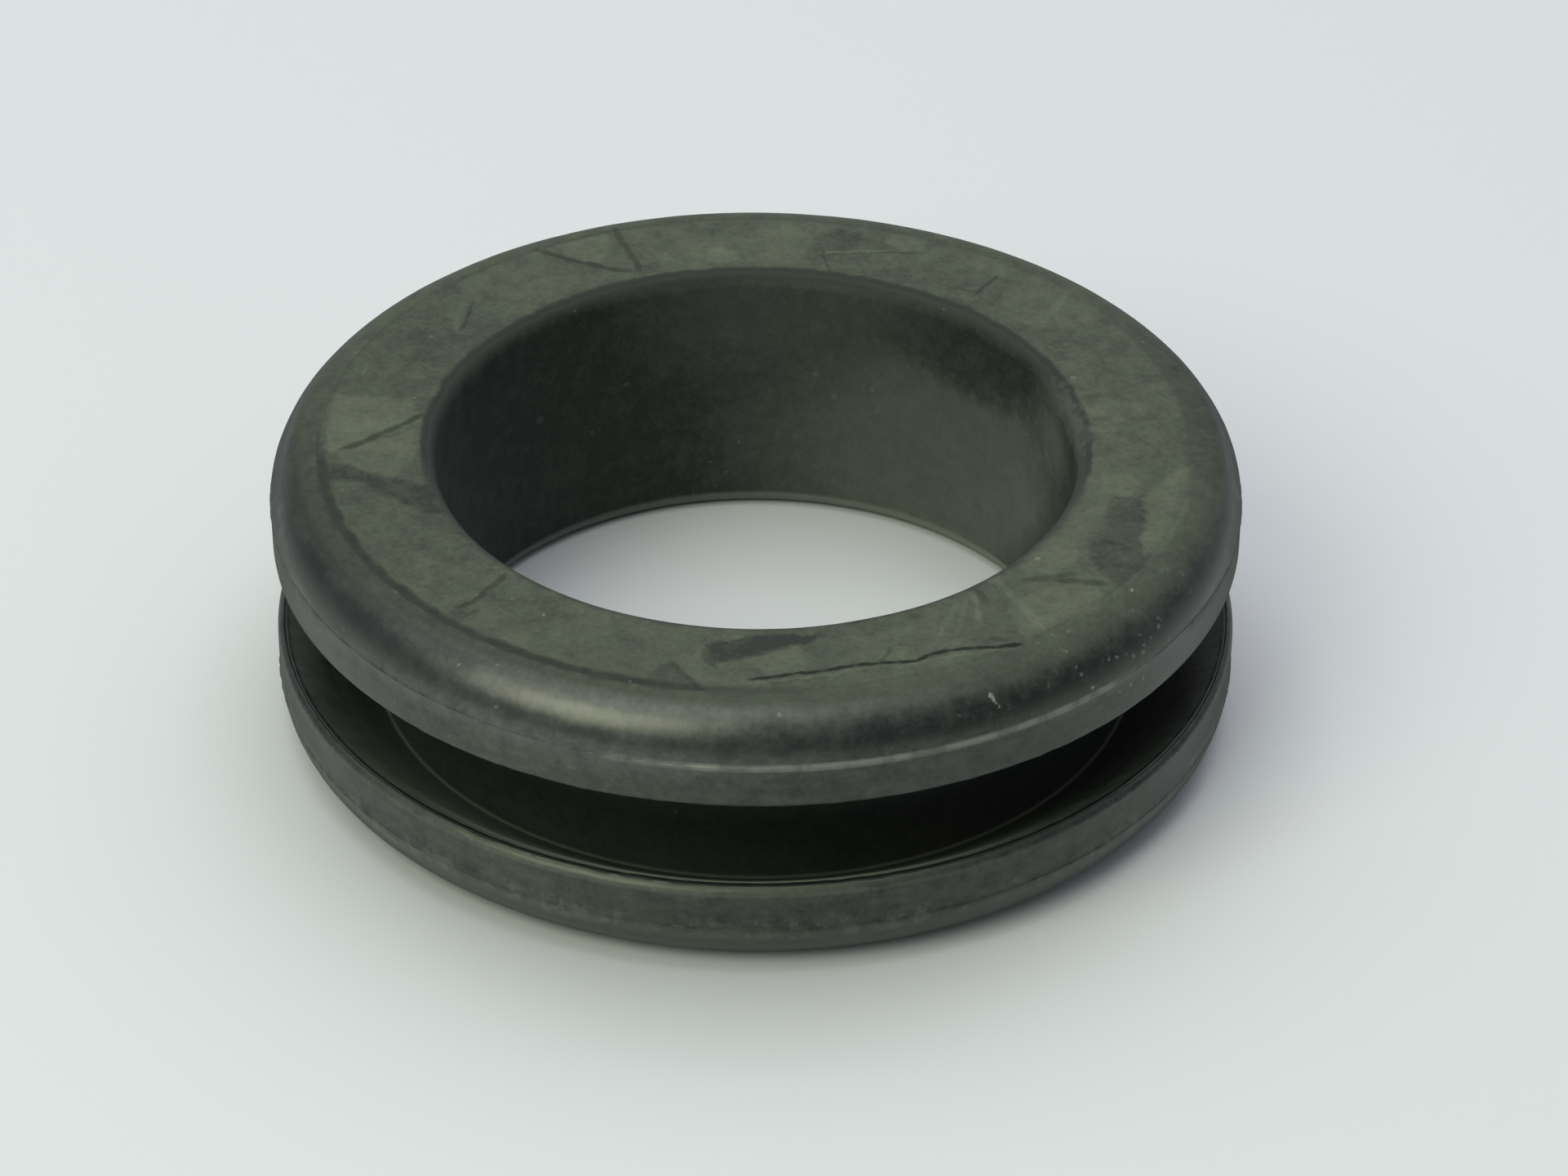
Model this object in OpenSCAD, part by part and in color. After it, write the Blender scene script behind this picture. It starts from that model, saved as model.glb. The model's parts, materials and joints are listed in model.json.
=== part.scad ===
// Rubber panel grommet: one moulded ring with two cup-shaped flanges.
// The ring stands on its lower flange, with its axis on +Z and its
// lower face at Z = 0. Sizes are in millimetres.

/* [Panel fit] */
// Diameter of the hub, which fills the hole in the panel
hub_d = 46; // [36:0.5:70]
// Height of the groove's mouth, between the two lips that grip the panel
groove_w = 5.5; // [3:0.1:12]
// How much deeper each flange is dished at the hub than at its lip
dish_depth = 3.8; // [1:0.1:4.6]
// Radius of the fillet between the hub and each dish
hub_fillet_r = 0.2; // [0.1:0.05:0.6]

/* [Bore] */
// Wall of the hub, between the groove and the bore
wall_t = 3.9; // [3:0.1:8]
// Radius of the rounded edge at each end of the bore
bore_edge_r = 1.1; // [0.3:0.1:2]

/* [Flanges] */
// How far each flange stands out past the hub
flange_reach = 6; // [5:0.1:12]
// Height of each flange, from its lip to its outer face
flange_h = 6; // [5.5:0.1:10]
// Radius of the rounded shoulder, between the rim and the outer face
shoulder_r = 3.1; // [1.5:0.1:4.5]

/* [Lips] */
// Width of the flat lip ring at the mouth of the groove, with its rounding
lip_w = 0.75; // [0.6:0.05:1.5]
// Radius of the lip's outer edge
lip_edge_r = 0.5; // [0.1:0.05:0.6]

/* [Mould marks] */
// Radius of the raised seam where the rim meets the shoulder
seam_r = 0.1; // [0.05:0.01:0.2]
// Radius of the fine groove where the shoulder meets the flat face
witness_r = 0.25; // [0.1:0.05:0.4]
// Depth of that groove
witness_depth = 0.06; // [0.03:0.01:0.09]

/* [Hidden] */
$fn = 180;

hub_r = hub_d / 2;
bore_r = hub_r - wall_t;
outer_r = hub_r + flange_reach;
// Heights above the middle of the groove
lip_z = groove_w / 2;
dish_z = lip_z + dish_depth;
face_z = lip_z + flange_h;
seam_z = face_z - shoulder_r;
// The shoulder's centre, above which the flat face begins
shoulder_x = outer_r - shoulder_r;
// The lip's inner edge, and the slope of the dish from there down to the hub
lip_x = outer_r - lip_w;
dish_angle = atan2(dish_depth, lip_x - hub_r);
// The centre of the fillet between them
fillet_x = hub_r + hub_fillet_r;
fillet_z = dish_z - hub_fillet_r / tan((90 - dish_angle) / 2);
// How far past the rim the cuts run
overrun = 1;
// How far the fillet's circle sinks past the dish, so they always meet
overlap = 0.001;

// What a rounded corner of radius r removes from a square one, with the
// round's centre at the origin and the corner towards +X and +Y
module corner_waste(r) {
    difference() {
        square(r + overrun);
        circle(r);
    }
}

// The groove: a straight mouth between the lips that opens out to the hub,
// where a fillet touches the hub at fillet_z and the dish at tangent_x
module groove_section() {
    reach = hub_fillet_r - overlap;
    tangent_x = fillet_x + reach * sin(dish_angle);
    tangent_z = fillet_z + reach * cos(dish_angle);
    for (side = [-1, 1]) translate([fillet_x, side * fillet_z]) circle(hub_fillet_r);
    polygon([
        [hub_r, fillet_z],
        [tangent_x, tangent_z],
        [lip_x, lip_z],
        [outer_r + overrun, lip_z],
        [outer_r + overrun, -lip_z],
        [lip_x, -lip_z],
        [tangent_x, -tangent_z],
        [hub_r, -fillet_z],
    ]);
}

// What is cut from the block above the groove's middle: the lip's edge, the
// shoulder, the fine groove beside the flat face, and the bore's edge
module flange_cuts() {
    translate([outer_r - lip_edge_r, lip_z + lip_edge_r])
        mirror([0, 1]) corner_waste(lip_edge_r);
    translate([shoulder_x, seam_z]) corner_waste(shoulder_r);
    translate([shoulder_x, face_z + witness_r - witness_depth]) circle(witness_r);
    translate([bore_r + bore_edge_r, face_z - bore_edge_r])
        mirror([1, 0]) corner_waste(bore_edge_r);
}

// The ring's section, about the middle of the groove
module ring_section() {
    difference() {
        translate([bore_r, -face_z]) square([outer_r - bore_r, 2 * face_z]);
        groove_section();
        flange_cuts();
        mirror([0, 1]) flange_cuts();
    }
    for (side = [-1, 1]) translate([outer_r, side * seam_z]) circle(seam_r);
}

module grommet() {
    color([0.2, 0.21, 0.19])
        translate([0, 0, face_z]) rotate_extrude() ring_section();
}

grommet();
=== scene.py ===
import json
import math

import bmesh
import bpy
from mathutils import Matrix, Vector


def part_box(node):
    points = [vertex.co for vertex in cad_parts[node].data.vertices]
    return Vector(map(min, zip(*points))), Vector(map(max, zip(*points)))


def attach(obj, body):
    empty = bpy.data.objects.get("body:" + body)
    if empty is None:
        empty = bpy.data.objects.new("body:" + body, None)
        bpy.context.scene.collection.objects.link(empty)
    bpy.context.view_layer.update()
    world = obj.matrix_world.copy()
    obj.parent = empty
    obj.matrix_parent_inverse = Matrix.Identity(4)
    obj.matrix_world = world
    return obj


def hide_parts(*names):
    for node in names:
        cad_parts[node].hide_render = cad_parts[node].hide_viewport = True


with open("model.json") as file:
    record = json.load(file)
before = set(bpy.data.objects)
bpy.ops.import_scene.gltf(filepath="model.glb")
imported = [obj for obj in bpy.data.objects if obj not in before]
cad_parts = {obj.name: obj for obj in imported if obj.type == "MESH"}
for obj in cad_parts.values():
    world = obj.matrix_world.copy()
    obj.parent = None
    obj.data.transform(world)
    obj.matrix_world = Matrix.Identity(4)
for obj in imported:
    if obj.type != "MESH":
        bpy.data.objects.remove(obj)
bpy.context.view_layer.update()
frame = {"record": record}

# ---------------------------------------------------------------------------------------
# Ring. One piece of black rubber, pressed in a two-part mould: a hub that fills the hole
# in a panel, and two cupped flanges whose lips grip the panel's faces. Nothing fixes it
# but its own spring. A thin grey-green bloom of wax has come out on its skin.
# ---------------------------------------------------------------------------------------

MM = 0.001
mounts = {mount["name"]: mount for mount in frame["record"]["mounts"]}
ring_low, ring_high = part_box("grommet")
height = ring_high.z - ring_low.z
middle = height / 2
bore_r = mounts["bore"]["dims"]["r_mm"] * MM
bore_edge = (height - mounts["bore"]["dims"]["length_mm"] * MM) / 2
hub_r = mounts["panel_groove"]["pos_m"][0]
seam = 0.1 * MM
rim_r = ring_high.x - seam
shoulder = 3.1 * MM
shoulder_r = rim_r - shoulder
flange = 6 * MM
dish = 3.8 * MM
lip = 0.75 * MM
lip_r = rim_r - lip
lip_edge = 0.5 * MM
lip_crease = 0.06 * MM
hub_fillet = 0.39 * MM
witness = 0.16 * MM
witness_depth = 0.06 * MM
tear = 0.06 * MM
tear_depth = 0.07 * MM
hair = 0.01 * MM
sectors = 16
sector_steps = 40


def near(a, b):
    """Whether two lengths are the same to within a thousandth of a millimetre."""
    return abs(a - b) < 0.001 * MM


def both_ends(z):
    """The heights on the lower and the upper flange that are z from the ring's end face."""
    return (z, height - z)


def pick(test):
    """Selects the ring's points at which test(reach, z) holds, and the edges between them.
    The reach of a point is its distance from the ring's axis."""
    bpy.ops.mesh.select_all(action="DESELECT")
    drawing = bmesh.from_edit_mesh(ring.data)
    for point in drawing.verts:
        if test(math.hypot(point.co.x, point.co.y), point.co.z):
            point.select = True
    drawing.select_flush(True)


def pick_corners(reach, z):
    """Selects the corner at this reach on both flanges, z from each end face."""
    pick(lambda r, h: near(r, reach) and any(near(h, end) for end in both_ends(z)))


def round_corners(reach, z, run, steps):
    """Rounds the corner at this reach on both flanges over a run along its two sides."""
    pick_corners(reach, z)
    bpy.ops.mesh.bevel(affect="VERTICES", offset=run, segments=steps, profile=0.5)


# The section starts as the hub's wall, cut across at the floor of each dish
bpy.ops.object.select_all(action="DESELECT")
bpy.ops.mesh.primitive_plane_add(
    size=1, location=((bore_r + hub_r) / 2, 0, middle), rotation=(math.pi / 2, 0, 0)
)
ring = bpy.context.object
ring.name = "moulded_ring"
ring.scale = (hub_r - bore_r, height, 1)
bpy.ops.object.transform_apply()
bpy.ops.object.mode_set(mode="EDIT")
bpy.ops.mesh.select_mode(type="VERT")
dish_floor = flange - dish
for cut in both_ends(dish_floor):
    bpy.ops.mesh.select_all(action="SELECT")
    bpy.ops.mesh.bisect(plane_co=(0, 0, cut), plane_no=(0, 0, 1))

# Each flange is drawn out from the hub to its lip, raised there, and drawn on to the rim
for flange_side in (-1, 1):
    pick(lambda r, h: near(r, hub_r) and (h - middle) * flange_side > middle - dish_floor - hair)
    bpy.ops.mesh.extrude_region_move(TRANSFORM_OT_translate={"value": (lip_r - hub_r, 0, 0)})
    inner_lip = middle + flange_side * (middle - dish_floor)
    pick(lambda r, h: near(r, lip_r) and near(h, inner_lip))
    bpy.ops.transform.translate(value=(0, 0, -flange_side * dish))
    pick(lambda r, h: near(r, lip_r) and (h - middle) * flange_side > 0)
    bpy.ops.mesh.extrude_region_move(TRANSFORM_OT_translate={"value": (lip, 0, 0)})
bpy.ops.mesh.select_all(action="SELECT")
bpy.ops.mesh.dissolve_limited(angle_limit=math.radians(1))

# Its corners are rounded as the mould's are
round_corners(bore_r, 0, bore_edge, steps=8)
round_corners(rim_r, 0, shoulder, steps=16)
round_corners(rim_r, flange, lip_edge, steps=6)
round_corners(lip_r, flange, lip_crease, steps=2)
round_corners(hub_r, dish_floor, hub_fillet, steps=3)


def scribe(reach, z, run, push_out, push_in):
    """Raises or sinks a fine line round both flanges at this corner. Its middle is pushed
    all the way, out from the axis and in from the flange's end face, and its sides less."""
    round_corners(reach, z, run, steps=4)
    for end, side in zip(both_ends(z), (1, -1)):
        for least, most, share in ((0.3, 0.8, 0.8), (-1, 0.3, 1)):
            pick(lambda r, h: least * run < math.hypot(r - reach, h - end) <= most * run)
            bpy.ops.transform.translate(value=(share * push_out, 0, side * share * push_in))


# The seam is a fine bead where the mould parts, a shallow witness line rings each flat
# face, and a fine tear line rings each lip where the flash was pulled off
scribe(rim_r, shoulder, seam, seam, 0)
scribe(shoulder_r, 0, witness, 0, witness_depth)
scribe(rim_r - lip_edge, flange, tear, 0, -tear_depth)

# Long runs are divided, so that the skin can be uneven later
bpy.ops.mesh.select_all(action="SELECT")
bpy.ops.mesh.delete(type="ONLY_FACE")
for end in both_ends(0):
    pick(lambda r, h: near(h, end) and bore_r + bore_edge - hair < r < shoulder_r - 10 * hair)
    bpy.ops.mesh.subdivide(number_cuts=8)
    pick(lambda r, h: r > rim_r - hair and shoulder + 0.9 * seam < abs(h - end) < flange)
    bpy.ops.mesh.subdivide(number_cuts=2)
    pick(
        lambda r, h: hub_r + 20 * hair < r < lip_r - 0.6 * lip_crease
        and dish_floor < abs(h - end) < flange
    )
    bpy.ops.mesh.subdivide(number_cuts=4)
pick(lambda r, h: near(r, bore_r))
bpy.ops.mesh.subdivide(number_cuts=16)
pick(lambda r, h: near(r, hub_r))
bpy.ops.mesh.subdivide(number_cuts=5)

# The section is turned about the axis through one sector, which is repeated all round
bpy.ops.mesh.select_all(action="SELECT")
bpy.ops.mesh.spin(steps=sector_steps, angle=2 * math.pi / sectors, center=(0, 0, 0), axis=(0, 0, 1))
bpy.ops.mesh.select_all(action="SELECT")
bpy.ops.mesh.spin(steps=sectors, angle=2 * math.pi, dupli=True, center=(0, 0, 0), axis=(0, 0, 1))
bpy.ops.mesh.select_all(action="SELECT")
bpy.ops.mesh.remove_doubles(threshold=0.0005 * MM)
bpy.ops.mesh.normals_make_consistent(inside=False)
bpy.ops.mesh.select_all(action="DESELECT")
bpy.ops.object.mode_set(mode="OBJECT")


def roughen(name, basis, size, depth, share):
    """Sinks the skin unevenly, by up to depth, with lumps of about this size. The share of
    the depth that a point gets is share(bearing in degrees, reach, height)."""
    lumps = bpy.data.textures.new(name, "CLOUDS")
    lumps.noise_basis = basis
    lumps.noise_scale = size
    lumps.noise_depth = 1
    group = ring.vertex_groups.new(name=name)
    for point in ring.data.vertices:
        x, y, z = point.co
        weight = share(math.degrees(math.atan2(y, x)) % 360, math.hypot(x, y), z)
        if weight > 0:
            group.add([point.index], min(weight, 1), "REPLACE")
    sink = ring.modifiers.new(name, "DISPLACE")
    sink.texture = lumps
    sink.texture_coords = "LOCAL"
    sink.vertex_group = name
    sink.mid_level = 1
    sink.strength = depth
    bpy.ops.object.modifier_apply(modifier=name)
    ring.vertex_groups.remove(ring.vertex_groups[name])


def around(bearing, centre, half):
    """1 at the middle of an arc about this centre, falling to 0 at its two ends."""
    off = abs((bearing - centre + 180) % 360 - 180)
    return max(0.0, 1 - (off / half) ** 2)


def everywhere(bearing, reach, z):
    return 1


def seam_share(bearing, reach, z):
    """The bead is worn down all round, and left ragged and high at the front."""
    off_seam = min(abs(z - end) for end in both_ends(shoulder))
    if reach < rim_r or off_seam > 0.9 * seam:
        return 0
    return 1 - 0.8 * around(bearing, 287, 40)


def lip_share(bearing, reach, z):
    """The lip's edge is torn a little unevenly where the flash came off."""
    off_lip = min(abs(z - end) for end in both_ends(flange))
    return 1 if reach > lip_r - 5 * hair and off_lip < 30 * hair else 0


roughen("slack", "IMPROVED_PERLIN", size=7 * MM, depth=0.07 * MM, share=everywhere)
roughen("dimples", "ORIGINAL_PERLIN", size=1.6 * MM, depth=0.018 * MM, share=everywhere)
roughen("worn_seam", "BLENDER_ORIGINAL", size=0.7 * MM, depth=0.13 * MM, share=seam_share)
roughen("torn_lip", "BLENDER_ORIGINAL", size=0.9 * MM, depth=0.07 * MM, share=lip_share)
bpy.ops.object.shade_smooth_by_angle(angle=math.radians(40))

rubber = bpy.data.materials.new("bloomed_black_rubber")
rubber.use_nodes = True
rubber.node_tree.nodes.clear()


class Value:
    """One socket of a material's nodes. Arithmetic on it adds the nodes that work it out."""

    tree = rubber.node_tree

    def __init__(self, socket):
        self.socket = socket

    @classmethod
    def node(cls, kind, settings, sockets, output=0):
        """Adds a node of this kind: its settings first, then the values or links of its sockets."""
        made = cls.tree.nodes.new(kind)
        for name, setting in settings.items():
            setattr(made, name, setting)
        for name, value in sockets.items():
            if isinstance(value, Value):
                cls.tree.links.new(value.socket, made.inputs[name])
            else:
                made.inputs[name].default_value = value
        return cls(made.outputs[output]) if made.outputs else None

    def math(self, operation, *others):
        return Value.node("ShaderNodeMath", {"operation": operation}, dict(enumerate((self, *others))))

    def __add__(self, other):
        return self.math("ADD", other)

    def __sub__(self, other):
        return self.math("SUBTRACT", other)

    def __mul__(self, other):
        return self.math("MULTIPLY", other)

    def __rsub__(self, other):
        return Value.node("ShaderNodeMath", {"operation": "SUBTRACT"}, {0: other, 1: self})

    __radd__ = __add__
    __rmul__ = __mul__

    def off(self, other):
        """How far the value is from the other, either way."""
        return (self - other).math("ABSOLUTE")

    def least(self, other):
        return self.math("MINIMUM", other)

    def most(self, other):
        return self.math("MAXIMUM", other)

    def step(self, low, high):
        """0 where the value is at low or beyond, 1 where it is at high or beyond, even between."""
        return Value.node(
            "ShaderNodeMath",
            {"operation": "MULTIPLY_ADD", "use_clamp": True},
            {0: self, 1: 1 / (high - low), 2: -low / (high - low)},
        )


def vector(operation, first, second, output=0):
    """A Vector Math node on two vectors."""
    return Value.node("ShaderNodeVectorMath", {"operation": operation}, {0: first, 1: second}, output)


def flat(first, second):
    """The sum of two vectors, laid flat: its height is 1, so that a dot product with a
    line's slope and offset tells how far it is from the line."""
    return vector("ADD", vector("MULTIPLY", vector("ADD", first, second), (1, 1, 0)), (0, 0, 1))


def axes(whole):
    """The X, Y and Z of a vector."""
    split = Value.node("ShaderNodeSeparateXYZ", {}, {0: whole}).socket.node
    return [Value(split.outputs[axis]) for axis in "XYZ"]


def mix(share, first, second):
    """The first colour where the share is 0, and the second where it is 1."""
    return Value.node("ShaderNodeMix", {"data_type": "RGBA"}, {0: share, 6: first, 7: second}, 2)


# A point's place on the ring in millimetres, its reach from the axis, its distance from
# the nearer end face, and the ring's own reaches and heights to measure it by
place = Value.node("ShaderNodeTexCoord", {}, {}, "Object")
place = vector("MULTIPLY", place, (1 / MM, 1 / MM, 1 / MM))
x, y, z = axes(place)
reach = vector("LENGTH", vector("MULTIPLY", place, (1, 1, 0)), (0, 0, 0), "Value")
bore_at = bore_r / MM
edge_at = (bore_r + bore_edge) / MM
hub_at = hub_r / MM
flat_at = shoulder_r / MM
lip_at = lip_r / MM
rim_at = rim_r / MM
dish_z = dish_floor / MM
seam_z = shoulder / MM
lip_z = flange / MM
mid_z = middle / MM
top_z = height / MM
from_end = mid_z - z.off(mid_z)


def mottle(size, seed, detail=2, roughness=0.5, stretch=(1, 1, 1)):
    """Soft cloudy noise from 0 to 1, with lumps of this size in millimetres. Each seed
    gives another pattern."""
    spread = Value.node(
        "ShaderNodeVectorMath",
        {"operation": "MULTIPLY_ADD"},
        {0: place, 1: stretch, 2: (seed * 7.3, seed * 3.1, seed * 5.7)},
    )
    return Value.node(
        "ShaderNodeTexNoise",
        {},
        {"Vector": spread, "Scale": 1 / size, "Detail": detail, "Roughness": roughness},
    )


def spot(bearing, away, up=0):
    """The place at this bearing in degrees, reach and height in millimetres."""
    turn = math.radians(bearing)
    return Vector((away * math.cos(turn), away * math.sin(turn), up))


def blot(bearing, away, up, wide, tall, soft):
    """1 in the middle of a blot on the skin and 0 outside it. Its middle is at this spot,
    and its half sizes are wide and tall. Its edge is as wide as this share of them."""
    centre = spot(bearing, away, up)
    local = vector("DIVIDE", vector("SUBTRACT", drifted, centre), (wide, wide, tall))
    return vector("LENGTH", local, (0, 0, 0), "Value").step(1 + soft / 2, 1 - soft / 2)


# The edges of all marks wander a little, some more than others. The marks on the upper
# face are drawn flat, from above, by points as (bearing, reach).
wander = Value.node(
    "ShaderNodeTexNoise",
    {},
    {"Vector": place, "Scale": 1.5, "Detail": 3, "Roughness": 0.6},
    "Color",
)
wander = vector("SUBTRACT", wander, (0.5, 0.5, 0.5))
drifted = vector("ADD", place, vector("MULTIPLY", wander, (2.5, 2.5, 2.5)))
nudged = vector("ADD", place, vector("MULTIPLY", wander, (0.6, 0.6, 0.6)))
drawn = flat(place, vector("MULTIPLY", wander, (0.9, 0.9, 0)))
steady = flat(place, vector("MULTIPLY", wander, (0.35, 0.35, 0)))


def patch(corners):
    """1 inside the convex patch with these corners, and 0 outside it."""
    soft = 0.2
    points = [spot(*corner).xy for corner in corners]
    centre = sum(points, Vector((0, 0))) / len(points)
    outside = None
    for here, there in zip(points, points[1:] + points[:1]):
        across = Vector((there.y - here.y, here.x - there.x)).normalized()
        if across.dot(centre - here) > 0:
            across = -across
        beyond = vector("DOT_PRODUCT", drawn, (across.x, across.y, -across.dot(here)), "Value")
        outside = beyond if outside is None else outside.most(beyond)
    return outside.step(soft, -soft)


def streak(points, half_width):
    """1 along a thin line through these points, which tapers between them, and 0 beside it.
    Each stretch is an ellipse that runs a little past its two ends."""
    points = [spot(*point).xy for point in points]
    nearest = None
    for here, there in zip(points, points[1:]):
        half_length = (there - here).length * 0.62 + half_width * 0.3
        run = (there - here).normalized() / half_length
        side = Vector((-run.y, run.x)).normalized() / half_width
        centre = (here + there) / 2
        along = vector("DOT_PRODUCT", steady, (run.x, run.y, -run.dot(centre)), "Value")
        aside = vector("DOT_PRODUCT", steady, (side.x, side.y, -side.dot(centre)), "Value")
        away = along * along + aside * aside
        nearest = away if nearest is None else nearest.least(away)
    return nearest.step(1.5, 0.3)


# Patches where the rubber flowed and knitted in the mould, some paler and some darker
patches = None
for shade, corners in (
    (0.30, [(169.5, 25.9), (168.6, 21.3), (175.5, 20.1), (184, 25.0), (184, 25.9), (176, 26.2)]),
    (0.22, [(178, 20.3), (184, 24.9), (186.7, 24.6), (190.2, 22.9), (191.8, 21.4), (189, 20.5),
        (183, 20.3)]),
    (-0.25, [(186.0, 25.9), (187.3, 24.5), (190.2, 23.1), (192, 23.7), (190.8, 25.9)]),
    (-0.25, [(190.2, 23.1), (192.5, 21.6), (195.5, 20.0), (204, 20.2), (203.5, 21.0), (192, 23.7)]),
    (-0.15, [(226.4, 24.6), (229.0, 24.2), (228.8, 25.7), (226.8, 25.6)]),
    (-0.12, [(233.6, 20.2), (236.4, 20.3), (241.0, 23.2), (238.2, 23.4)]),
    (-0.22, [(258.2, 23.5), (259.5, 23.8), (263.5, 25.9), (255.6, 25.9)]),
    (-0.46, [(262.3, 21.6), (263.3, 23.0), (264.2, 23.4), (270, 22.5), (278.7, 21.4), (280, 20.7),
        (270, 20.5)]),
    (-0.14, [(279, 20.1), (279, 21.2), (288, 21.6), (297, 20.9), (300, 20.1)]),
    (0.18, [(268.3, 22.8), (271.5, 24.3), (276.8, 24.0), (276.8, 21.3), (271, 22.0)]),
    (0.12, [(290, 24.9), (298, 24.8), (299.5, 25.4), (297, 25.9), (291, 25.5)]),
    (0.20, [(310, 22.5), (307, 24.0), (306, 25.7), (318, 26.2), (321.0, 25.5), (322, 23.9),
        (315, 22.6)]),
    (-0.20, [(344.0, 21.7), (344.0, 23.4), (339.6, 24.3), (333, 24.8), (331, 23), (333, 22.0),
        (338.8, 21.8)]),
    (-0.20, [(333, 24.8), (329.2, 25.9), (323.5, 25.7), (324.5, 24.2), (326.5, 22.9), (331, 22.2)]),
    (0.22, [(331.5, 25.5), (334, 24.8), (344.5, 23.6), (348, 24.0), (352, 24.8), (354, 25.9),
        (343, 26.2), (333, 26.2)]),
    (0.20, [(344.2, 21.2), (344.3, 23.0), (348.6, 23.1), (350.5, 21.8), (350, 20.6), (346, 20.8)]),
    (0.12, [(327, 20.4), (327, 21.9), (338.5, 21.7), (339.5, 20.7), (334, 20.3)]),
    (0.20, [(318, 20.3), (319.0, 21.9), (324, 22.7), (327, 22.0), (327, 20.4)]),
    (0.15, [(33, 25.9), (33.3, 23.2), (36, 21.5), (44, 20.9), (48, 22.5), (48, 25.9), (40, 26.2)]),
    (0.15, [(49.5, 24.6), (50.5, 25.9), (56, 25.9), (57, 24.5), (54, 23.8)]),
    (0.20, [(65, 24.2), (65.5, 25.6), (70.5, 25.7), (70.5, 24.2), (67.5, 23.9)]),
    (-0.16, [(74.5, 23.2), (74.5, 25.2), (78.5, 25.4), (81.5, 23.5), (82, 21.2), (79.5, 20.3)]),
    (0.08, [(82.3, 20.4), (82.3, 23), (84, 25), (89, 25.5), (93, 23.5), (92, 20.6)]),
    (0.30, [(92.8, 20.7), (94, 21.8), (96, 22.7), (98, 22.4), (98.5, 21), (97, 20.5)]),
    (0.15, [(98.3, 22.9), (100.5, 22.9), (101.8, 21.7), (100, 21)]),
    (0.20, [(104.2, 22.8), (104.9, 21.4), (106.5, 21.3), (106, 22.2)]),
    (-0.20, [(107.3, 20.3), (107.5, 21.3), (110.5, 21.6), (113, 21), (113, 20.3)]),
    (0.20, [(112, 25.7), (112.5, 24), (116, 22.4), (118.3, 23.4), (119.8, 24.7), (119.3, 25.7)]),
    (0.08, [(121, 21.2), (123, 25), (128, 25.8), (137, 25.4), (141, 23.2), (140, 20.8), (130, 20.4)]),
    (0.22, [(139, 23.9), (143.5, 22.7), (146.8, 22.1), (144, 23.6), (141, 24.6)]),
):
    here = patch(corners) * shade
    patches = here if patches is None else patches + here

# Fine dark creases where two flows met
crease_spread = 1.4
crease_strength = 1.25
creases = None
for shade, half_width, points in (
    (0.50, 0.20, [(173.5, 20.3), (176.5, 21.2), (179, 22.2), (181.5, 23.3), (183.3, 24.5)]),
    (0.40, 0.17, [(225.5, 20.4), (226.3, 21.2), (226.6, 22.3), (227.2, 23.4), (227.0, 24.4)]),
    (0.30, 0.12, [(229.3, 24.0), (228.8, 24.9)]),
    (0.25, 0.15, [(259.3, 23.9), (261, 24.8), (263.4, 25.8)]),
    (0.25, 0.12, [(262.2, 22.2), (263.3, 23.2), (264.6, 23.8)]),
    (0.75, 0.12, [(269.5, 24.75), (272.5, 24.5), (275, 24.3), (279, 24.2), (283.5, 23.95),
        (286.5, 24.15), (289, 24.35), (291.5, 24.6)]),
    (0.75, 0.12, [(291.5, 24.6), (293.5, 24.3), (296.5, 24.4), (299.5, 24.85), (302, 25.4),
        (305, 25.85)]),
    (0.30, 0.10, [(286.8, 24.1), (288.3, 23.5), (289, 23)]),
    (0.30, 0.15, [(302.6, 24.6), (303.8, 25.2)]),
    (0.25, 0.20, [(307.2, 21.6), (308.6, 20.3)]),
    (0.30, 0.22, [(316, 21.4), (319.3, 22.4), (322, 23.1)]),
    (0.40, 0.20, [(319, 22.7), (321, 23.9), (322.6, 25.0)]),
    (0.40, 0.10, [(50.9, 21.4), (51.2, 22.6), (51.5, 24.0)]),
    (0.25, 0.08, [(50.6, 22.0), (53.5, 21.4)]),
    (0.25, 0.08, [(64.5, 24.1), (72, 22.9), (79.2, 21.8)]),
    (0.30, 0.10, [(76.8, 20), (78.2, 21), (79.5, 22.4)]),
    (0.35, 0.18, [(110.8, 20.8), (110.4, 22), (110.4, 23), (110.6, 24.5), (110.2, 26.2)]),
    (0.40, 0.20, [(112.8, 20.9), (115.6, 21.8), (118.6, 23.2), (120.5, 24.3), (122.3, 25.8)]),
    (0.35, 0.12, [(139.5, 23.3), (143, 22.4), (146, 21.9)]),
):
    here = streak(points, half_width * crease_spread) * shade * crease_strength
    creases = here if creases is None else creases.most(here)

# A few pale drawn-out smears
smears = None
for shade, half_width, points in (
    (0.20, 0.22, [(296.5, 23.0), (303, 20.8)]),
    (0.20, 0.20, [(300, 22.8), (305, 20.8)]),
    (0.25, 0.20, [(303.5, 22.8), (306, 21.3), (307, 20.4)]),
    (0.20, 0.30, [(309.3, 25.4), (311.2, 22.5), (312.5, 20.3)]),
    (0.20, 0.30, [(38.5, 23.3), (41, 25.4)]),
    (0.20, 0.20, [(70, 23.4), (79.4, 22.1)]),
    (0.20, 0.10, [(161, 25.1), (164, 24.8)]),
    (0.22, 0.14, [(270, 25.15), (275, 24.75), (280, 24.6), (284, 24.4)]),
    (0.18, 0.14, [(289, 24.8), (294, 24.8), (299, 25.25), (303, 25.8)]),
):
    here = streak(points, half_width) * shade
    smears = here if smears is None else smears.most(here)

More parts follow.
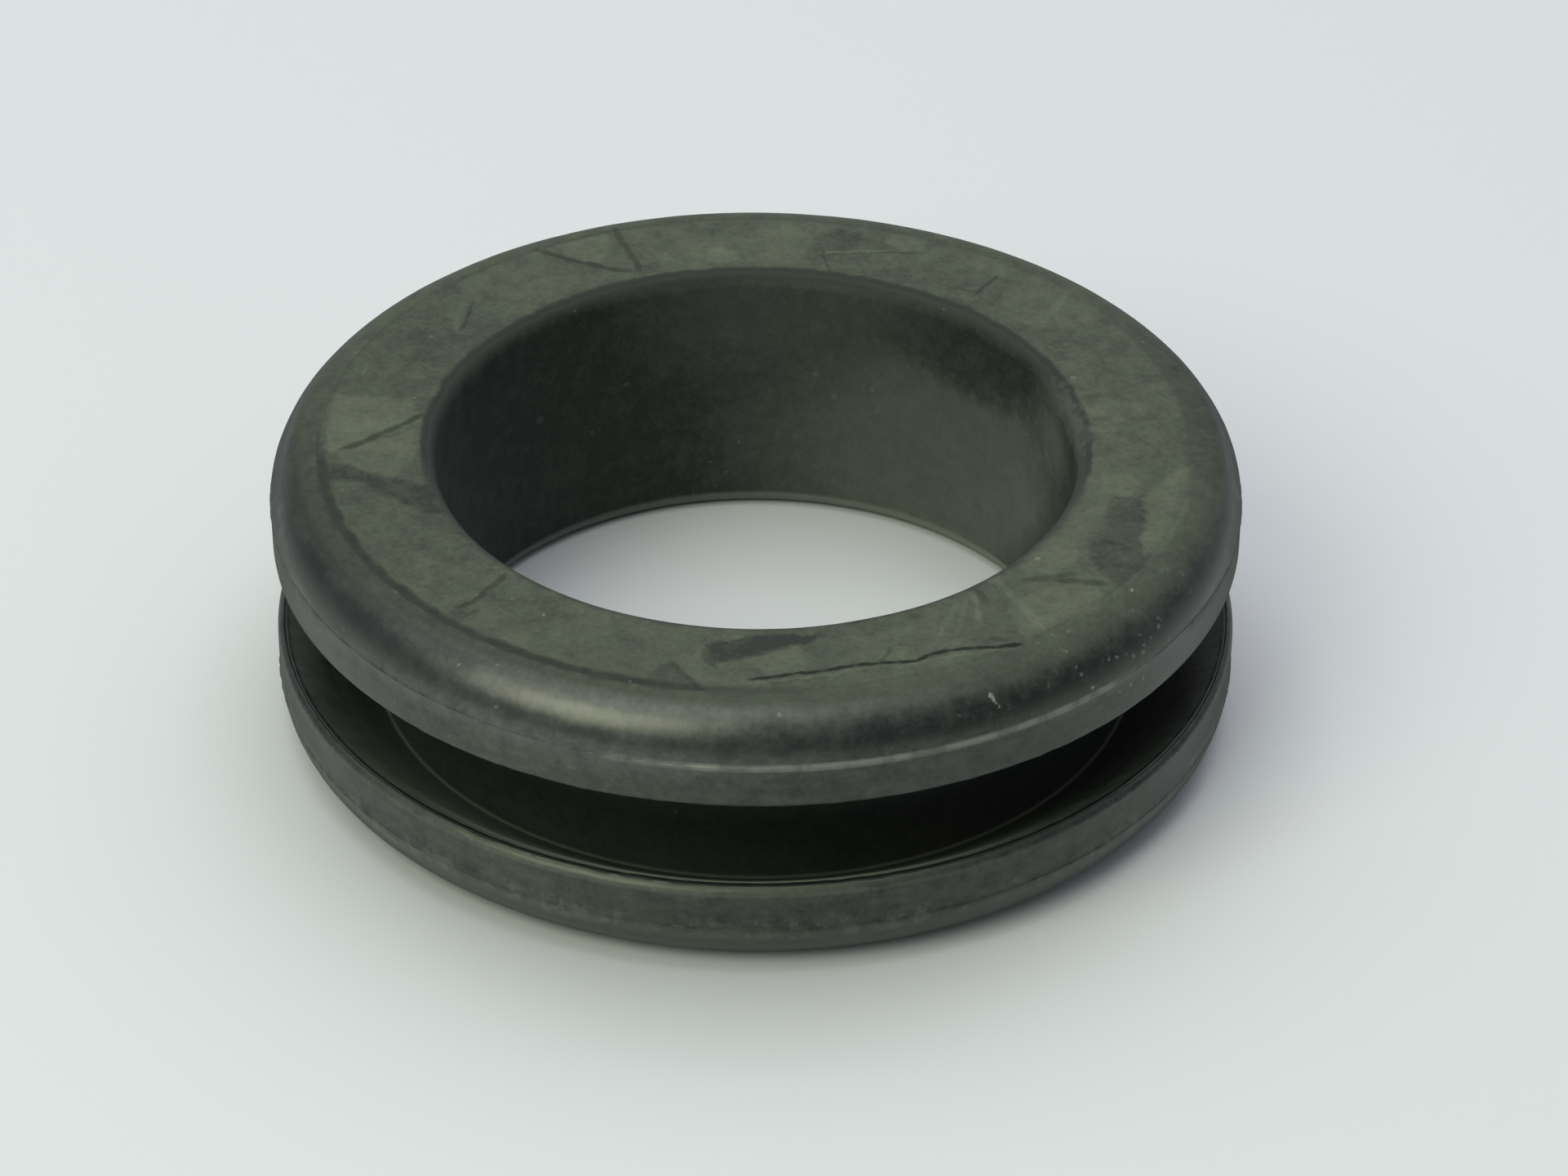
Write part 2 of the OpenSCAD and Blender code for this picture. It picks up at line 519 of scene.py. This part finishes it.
# The lower face has the same kind of patches, with no set plan
cells = Value.node(
    "ShaderNodeTexVoronoi",
    {"feature": "F1"},
    {"Vector": drawn, "Scale": 0.28, "Detail": 0, "Randomness": 1},
    "Color",
)
lower_patches = (axes(cells)[0] - 0.5) * 0.45

# Clouds of three sizes, which also make the edges of the worn places uneven
broad = mottle(5, 1, 3, 0.55)
medium = mottle(1.3, 2, 3, 0.6)
fine = mottle(0.35, 3, 3, 0.62)
worn_reach = reach + (medium - 0.5) * 0.9
edge_reach = reach + (medium - 0.5) * 0.4

# The parts of the skin, each 1 where it is and 0 elsewhere
upper_face = z.step(top_z - 0.7, top_z - 0.5)
lower_face = 1 - upper_face
low_half = 1 - z.step(mid_z - 0.5, mid_z + 0.5)
outer = worn_reach.step(flat_at - 0.3, flat_at + 0.1)
on_flat = from_end.step(0.45, 0.2) * edge_reach.step(edge_at - 0.45, edge_at - 0.05) * (1 - outer)
on_shoulder = outer * from_end.step(1.3, 0.3)
on_rim = reach.step(rim_at - 0.2, rim_at - 0.05)
past_shoulder = reach.step(rim_at - 0.3, rim_at - 0.15)
skirt = reach.step(27.5, 28.2) * from_end.step(seam_z + 0.1, seam_z - 0.4) * low_half
in_dish = reach.step(hub_at + 0.05, hub_at + 0.2) * reach.step(lip_at + 0.05, lip_at - 0.05)
in_dish = in_dish * from_end.step(dish_z - 0.3, dish_z - 0.1)
in_bore = reach.step(bore_at + 0.25, bore_at + 0.05)
on_edge = reach.step(edge_at - 0.2, edge_at - 0.4) * from_end.step(1.2, 0.9)
low_edge = reach.step(edge_at + 0.2, edge_at - 0.2) * z.step(1.2, 0.9)

# How much of the film covers the black there, from 0 to 1
film = 0.06 + on_flat * 0.41 + on_shoulder * 0.32 + on_rim * 0.14 + skirt * 0.32 + on_edge * 0.12
# The rims are painted paler about the front left, a painted sheen standing in for light they catch
# there
film = film + on_rim * blot(246, rim_at, mid_z, 9, 20, 1.2) * 0.15
# The dish is painted paler towards the front, standing in for light that reaches it through the gap
# between the lips
front_dish_painted_light = blot(262, 27, 5.2, 15, 6, 1.2)
film = film + in_dish * reach.step(25, 27.4) * (0.30 + front_dish_painted_light * 0.55)
# Just above each seam the shoulder is painted a little darker, a painted dark reflection
film = film - outer * from_end.step(1.3, 2.0) * from_end.step(seam_z - 0.1, seam_z - 0.25) * 0.04
dull = blot(150, 23, top_z, 11, 5, 1.4) * 0.12 + blot(198, 21.5, top_z, 5, 5, 1) * 0.09
film = film - on_flat * (dull + blot(45, 22, top_z, 11, 5, 1.2) * 0.07)

# The clouds thin it and thicken it
film = film + (broad - 0.5) * (
    on_flat * 0.45 + on_shoulder * 0.20 + on_rim * 0.30 + in_bore * 0.16
)
film = film + (medium - 0.5) * (
    0.16 + outer * 0.30 + on_flat * 0.50 + on_shoulder * 0.20 + on_rim * 0.24 + in_bore * 0.26
)
film = film + (fine - 0.5) * (
    0.18 + outer * 0.20 + on_flat * 0.54 + on_shoulder * 0.20 + on_rim * 0.10 + in_bore * 0.26
)
film = film + upper_face * (patches + smears) + lower_face * on_flat * lower_patches
film = film.most(0.0) * (1 - upper_face * creases)

# The bore is black but for one side, which is painted paler, partly film and partly a painted
# reflection of the lit floor. Painted shade darkens it on one side of a slanting edge and in
# two patches near the top and the right, and two more pale patches are added
past_painted_shade = (x * 0.14 + y * 0.84 + z * 0.52).step(11.6, 13.0)
bore_film_and_painted_light = blot(48, bore_at, 4.5, 13, 11, 0.8) * 0.66 * (0.35 + past_painted_shade * 0.65)
bore_film_and_painted_light = bore_film_and_painted_light * (1 - blot(46, bore_at, 16.2, 7.0, 4.3, 0.4) * 0.8)
bore_film_and_painted_light = bore_film_and_painted_light * (1 - blot(0, bore_at, 10.5, 6, 5, 0.8) * 0.6)
bore_film_and_painted_light = bore_film_and_painted_light.most(blot(84, bore_at, 15.5, 8.5, 6, 1) * 0.36)
bore_film_and_painted_light = bore_film_and_painted_light.most(blot(20, bore_at, 13.2, 2.6, 2.6, 1) * 0.5)
film = film + in_bore * (bore_film_and_painted_light - 0.02)

# The film is thinner on the shoulder at the left and at the right, just outside the flat
# face. Two darker rings, on the mould's witness line and just outside it, are painted shade
# of that line and of a shallow step
thin_film_left = outer * blot(207, 27.0, top_z, 15, 2.2, 0.8)
thin_film_right = outer * blot(12, 27.0, top_z, 8, 2.0, 1)
film = film - thin_film_left * 0.17 - thin_film_right * 0.15
witness_shade = worn_reach.off(flat_at - 0.05).step(0.48, 0.18)
witness_shade = witness_shade * blot(224, flat_at, top_z, 19.5, 1, 0.5)
step_shade = worn_reach.off(27.5).step(0.55, 0.1) * blot(212, 27.5, top_z, 14, 1.5, 0.8)
film = film.most(0.0) * (1 - witness_shade * (0.35 + medium)) * (1 - step_shade * 0.6)

# Rubbed streaks run up and down the bore and the rims, and combed ones round the rims
rubbed = mottle(0.5, 4, 2, 0.5, (1, 1, 0.09))
combed = mottle(1.1, 6, 3, 0.6, (0.35, 0.35, 1.8))
film = film + (rubbed - 0.5) * (in_bore * 0.10 + on_rim * 0.10) + (combed - 0.5) * on_rim * 0.34

# The seam's bead at the front is painted pale in broken lengths, a painted highlight where
# light catches its top. The film lies in flakes along the lower seam. The fine corner at the
# hub's foot is painted pale as a highlight, and the bore's lower edge as a reflection of the floor
broken = mottle(1.6, 8, 2, 0.5, (1, 1, 0.3)).step(0.42, 0.50)
off_seam = from_end.off(seam_z)
seam_highlight = off_seam.step(0.30, 0.12) * blot(287, rim_at, top_z - seam_z, 15.5, 1.5, 0.3)
seam_highlight = seam_highlight * past_shoulder
flakes = off_seam.step(0.9, 0.5) * broken * mottle(0.9, 9, 3, 0.6).step(0.52, 0.58) * low_half
film = film + seam_highlight * (broken * 0.3 + 0.3) + past_shoulder * flakes * 0.25
foot_highlight = reach.off(hub_at + 0.15).step(0.16, 0.06) * from_end.off(dish_z + 0.15).step(0.35, 0.15)
film = film + foot_highlight * 0.35 + low_edge * 0.45

# The crease inside each lip is painted dark, painted shade over a fine real crack, and the
# film is gone from a line on the bore's far edge
crease = reach.off(lip_at + 0.17).step(0.16, 0.06) * from_end.step(lip_z - 0.8, lip_z - 0.5)
bore_line = edge_reach.off(edge_at - 0.4).step(0.24, 0.10) * from_end.step(0.6, 0.3)
bore_line = bore_line * y.step(-6, -2)
film = film.most(0.0) * (1 - crease * 0.9) * (1 - bore_line * 0.85)

# Painted highlights: the lower lip's rounded edge is paler at the front, partly film, and a
# pale crescent lies on the bore's upper edge where light glints
lip_highlight = reach.step(lip_at + 0.25, lip_at + 0.37) * from_end.step(lip_z - 0.7, lip_z - 0.3)
lip_highlight = lip_highlight * blot(255, rim_at, lip_z, 17, 3, 0.8)
crescent_highlight = blot(9, bore_at + 0.15, top_z - 1.1, 4.2, 0.9, 0.8)
film = (film + lip_highlight * low_half * 0.6 + crescent_highlight * 0.4).least(1.0)

# Pale specks: a thin scatter of dust all over, nicks on the shoulder at the right and single
# flecks. More pale specks are painted light: in the dish at the front, on the bore's lower
# edge and on the bead's top at the front
dust = Value.node(
    "ShaderNodeTexVoronoi",
    {},
    {"Vector": place, "Scale": 0.42, "Randomness": 1},
    "Distance",
)
nicks = Value.node(
    "ShaderNodeTexVoronoi",
    {},
    {"Vector": nudged, "Scale": 1.5, "Randomness": 1},
    "Distance",
)
nicks = nicks.step(0.24, 0.10) * medium.step(0.48, 0.56)
nicks = nicks * outer * blot(318, 28.2, top_z - 1.2, 8, 1.5, 1)
dish_painted_light = reach.step(26.1, 26.8) * 0.12 + reach.off(27.2).step(0.55, 0.2) * 0.38
dish_painted_light = (dish_painted_light * blot(262, 27.8, 5.6, 14, 3, 1.2)).most(blot(222, 26.5, 4.6, 9, 3, 1) * 0.08)
specks = (dust.step(0.055, 0.03) * 0.12).most(in_dish * dish_painted_light).most(low_edge * 0.10)
specks = specks.most(nicks * 0.16).most(seam_highlight * (broken * 0.12 + 0.16))
for size, bearing, away, down, shade in (
    (0.19, 297.6, 28.12, 0.95, 0.50), (0.18, 297.8, 28.28, 1.12, 0.50), (0.16, 298, 28.42, 1.3, 0.45),
    (0.13, 298.2, 28.54, 1.48, 0.40),
    (0.14, 314.2, 28.56, 1.5, 0.25), (0.12, 315.3, 28.66, 1.68, 0.25), (0.12, 316.6, 28.74, 1.85, 0.2),
    (0.14, 318, 28.83, 2.09, 0.25), (0.12, 319.6, 28.9, 2.3, 0.2), (0.13, 309.4, 28.35, 1.2, 0.25),
    (0.12, 309.7, 28.6, 1.6, 0.2), (0.15, 311, 28.95, 2.6, 0.35), (0.14, 315.4, 29, 3.9, 0.25),
    (0.14, 317.2, 29, 3.9, 0.25), (0.14, 319.4, 29, 4.0, 0.25), (0.12, 320, 28.53, 1.46, 0.2),
    (0.12, 320, 28.8, 2.0, 0.2), (0.15, 323.8, 26.5, 0.06, 0.35), (0.13, 323.8, 28.41, 1.28, 0.25),
    (0.12, 323.2, 28.6, 1.6, 0.2), (0.14, 293.4, 28.5, 1.41, 0.2), (0.14, 272.6, 27.5, 0.44, 0.2),
    (0.13, 233.6, 27.93, 0.76, 0.25), (0.13, 238, 27.21, 0.29, 0.25), (0.12, 240, 28.75, 1.89, 0.2),
    (0.12, 237.2, 22.1, 0, 0.2), (0.15, 322, 20.5, 0, 0.2), (0.14, 168.3, 21.0, 0, 0.2),
    (0.15, 20.2, 20.5, 0, 0.15), (0.28, 135, bore_at, 7.5, 0.08), (0.22, 115.5, bore_at, 7.2, 0.08),
    (0.20, 78.8, bore_at, 7.2, 0.08), (0.24, 75, bore_at, 8.8, 0.08), (0.22, 67.7, bore_at, 7.7, 0.1),
    (0.22, 66.5, bore_at, 9.2, 0.08), (0.20, 60, bore_at, 5.3, 0.08),
):
    off_speck = vector("DISTANCE", nudged, spot(bearing, away, top_z - down), "Value")
    specks = specks.most(off_speck.step(size * 1.15, size * 0.7) * shade)

# The film is olive, here warmer and there cooler, where it lies thick on the flat faces
# and the shoulders, and grey where it is rubbed thin
black = (0.0064, 0.0090, 0.0086, 1)
olive = (0.107, 0.134, 0.089, 1)
warm = (0.115, 0.134, 0.088, 1)
grey = (0.126, 0.133, 0.117, 1)
cool = (0.120, 0.133, 0.116, 1)
pale = (0.42, 0.46, 0.40, 1)
level = (on_flat + on_shoulder + in_dish * 0.4 + lip_highlight * 0.5).least(1.0)
tinge = mottle(2.2, 12, 2, 0.6).step(0.42, 0.58)
bloom = mix(in_bore, mix(level, grey, mix(tinge, olive, warm)), cool)
colour = mix(specks, mix(film, black, bloom), pale)

# The skin is dull on the flat faces and smoother on the shoulders and rims, but dull
# again where it is seen at a low angle. Creases are dull too.
shiny = (outer * from_end.step(0.45, 0.85)).most(low_edge)
grazing = Value.node("ShaderNodeLayerWeight", {}, {"Blend": 0.5}, "Facing").step(0.65, 1)
roughness = 0.72 - shiny * 0.34 + shiny * grazing * 0.45 + upper_face * creases * 0.28
roughness = roughness + (fine - 0.5) * 0.12 + (medium - 0.5) * outer * 0.28

# One stretch of the upper shoulder is polished unevenly by handling
polish = blot(251, 28.0, top_z - 0.9, 14, 2.4, 1.2) * outer * from_end.step(0.15, 0.5)
polish = polish * (1 - low_half) * (1 + (medium - 0.5) * 1.5 + (fine - 0.5) * 0.5)

relief = medium * 0.25 + fine * 0.35 + mottle(0.12, 5, 2, 0.6) * 0.3
relief_depth = 0.06 * MM
bump = Value.node(
    "ShaderNodeBump",
    {},
    {"Strength": 0.45, "Distance": relief_depth, "Height": relief},
)
skin = Value.node(
    "ShaderNodeBsdfPrincipled",
    {},
    {
        "Base Color": colour,
        "Roughness": roughness,
        "Normal": bump,
        "IOR": 1.5,
        "Specular IOR Level": 0.57,
        "Specular Tint": (0.92, 1.0, 0.84, 1),
        "Coat Weight": polish,
        "Coat Roughness": 0.38,
        "Coat IOR": 1.6,
        "Diffuse Roughness": 0.6,
    },
)
Value.node("ShaderNodeOutputMaterial", {}, {"Surface": skin})

ring.data.materials.clear()
ring.data.materials.append(rubber)
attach(ring, "root")
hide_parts("grommet")

# ---------------------------------------------------------------------------------------
# Floor. A plain pale sheet, which isn't part of the object.
# ---------------------------------------------------------------------------------------

bpy.ops.object.select_all(action="DESELECT")
bpy.ops.mesh.primitive_plane_add(size=6, location=(0, 0, ring_low.z))
floor = bpy.context.object
floor.name = "floor"
sheet = bpy.data.materials.new("pale_sheet")
sheet.use_nodes = True
paint = sheet.node_tree.nodes["Principled BSDF"]
paint.inputs["Base Color"].default_value = (0.675, 0.71, 0.72, 1)
paint.inputs["Roughness"].default_value = 0.8
paint.inputs["Specular IOR Level"].default_value = 0.2
floor.data.materials.append(sheet)

# ---------------------------------------------------------------------------------------
# Light. Three softboxes: a large one overhead, a long one behind and a small one at the
# front left. A pale tent all round fills the shadows.
# ---------------------------------------------------------------------------------------


def softbox(name, bearing, elevation, distance, width, depth, strength, tint):
    """A lamp with a rectangular face that looks at the ring's middle, as bright as strength
    times white."""
    aim = Vector((0, 0, middle))
    east, rise = math.radians(bearing), math.radians(elevation)
    way = Vector((math.cos(rise) * math.cos(east), math.cos(rise) * math.sin(east), math.sin(rise)))
    lamp = bpy.data.lights.new(name, "AREA")
    lamp.shape = "RECTANGLE"
    lamp.size = width
    lamp.size_y = depth
    lamp.energy = strength * math.pi * width * depth
    lamp.color = tint
    box = bpy.data.objects.new(name, lamp)
    box.location = aim + way * distance
    box.rotation_euler = way.to_track_quat("Z", "Y").to_euler()
    bpy.context.scene.collection.objects.link(box)


softbox(
    "overhead_softbox", bearing=90, elevation=80, distance=0.9,
    width=0.75, depth=0.70, strength=1.95, tint=(1.0, 1.0, 1.0),
)
softbox(
    "back_softbox", bearing=90, elevation=52, distance=0.9,
    width=1.40, depth=0.40, strength=0.9, tint=(1.0, 1.0, 0.97),
)
softbox(
    "front_softbox", bearing=227, elevation=44, distance=0.6,
    width=0.38, depth=0.38, strength=3.5, tint=(0.98, 1.0, 0.76),
)

# The tent is bright overhead and dimmer towards the horizon and the front
surround = bpy.data.worlds.new("surround")
surround.use_nodes = True
Value.tree = surround.node_tree
backwards, upwards = axes(Value.node("ShaderNodeTexCoord", {}, {}, "Generated"))[1:]
dim_below = math.sin(math.radians(15))
bright_above = math.sin(math.radians(40))
tent = (0.28 + upwards.step(dim_below, bright_above) * 0.12) * (1 + backwards * 0.45)
backdrop = surround.node_tree.nodes["Background"]
backdrop.inputs["Color"].default_value = (0.98, 0.99, 1.10, 1)
surround.node_tree.links.new(tent.socket, backdrop.inputs["Strength"])
bpy.context.scene.world = surround
bpy.context.scene.view_settings.view_transform = "Standard"

# ---------------------------------------------------------------------------------------
# Camera. Its place and turn are about the ring's middle.
# ---------------------------------------------------------------------------------------

picture_width = 1920
focal_px = 6020.5
camera_distance = 297.405 * MM
camera_elevation = 34.0534
camera_pan = 0.3288
camera_tilt = -0.3337
camera_roll = -0.2888

lens = bpy.data.cameras.new("camera")
lens.sensor_fit = "HORIZONTAL"
lens.sensor_width = 36
lens.lens = focal_px * lens.sensor_width / picture_width
lens.clip_start = 0.01
camera = bpy.data.objects.new("camera", lens)
bpy.context.scene.collection.objects.link(camera)
rise = math.radians(camera_elevation)
turn = (
    Matrix.Rotation(math.pi / 2 - rise, 4, "X")
    @ Matrix.Rotation(math.radians(-camera_pan), 4, "Y")
    @ Matrix.Rotation(math.radians(camera_tilt), 4, "X")
    @ Matrix.Rotation(math.radians(-camera_roll), 4, "Z")
)
stand = Vector((0, -camera_distance * math.cos(rise), middle + camera_distance * math.sin(rise)))
camera.matrix_world = Matrix.Translation(stand) @ turn
bpy.context.scene.camera = camera
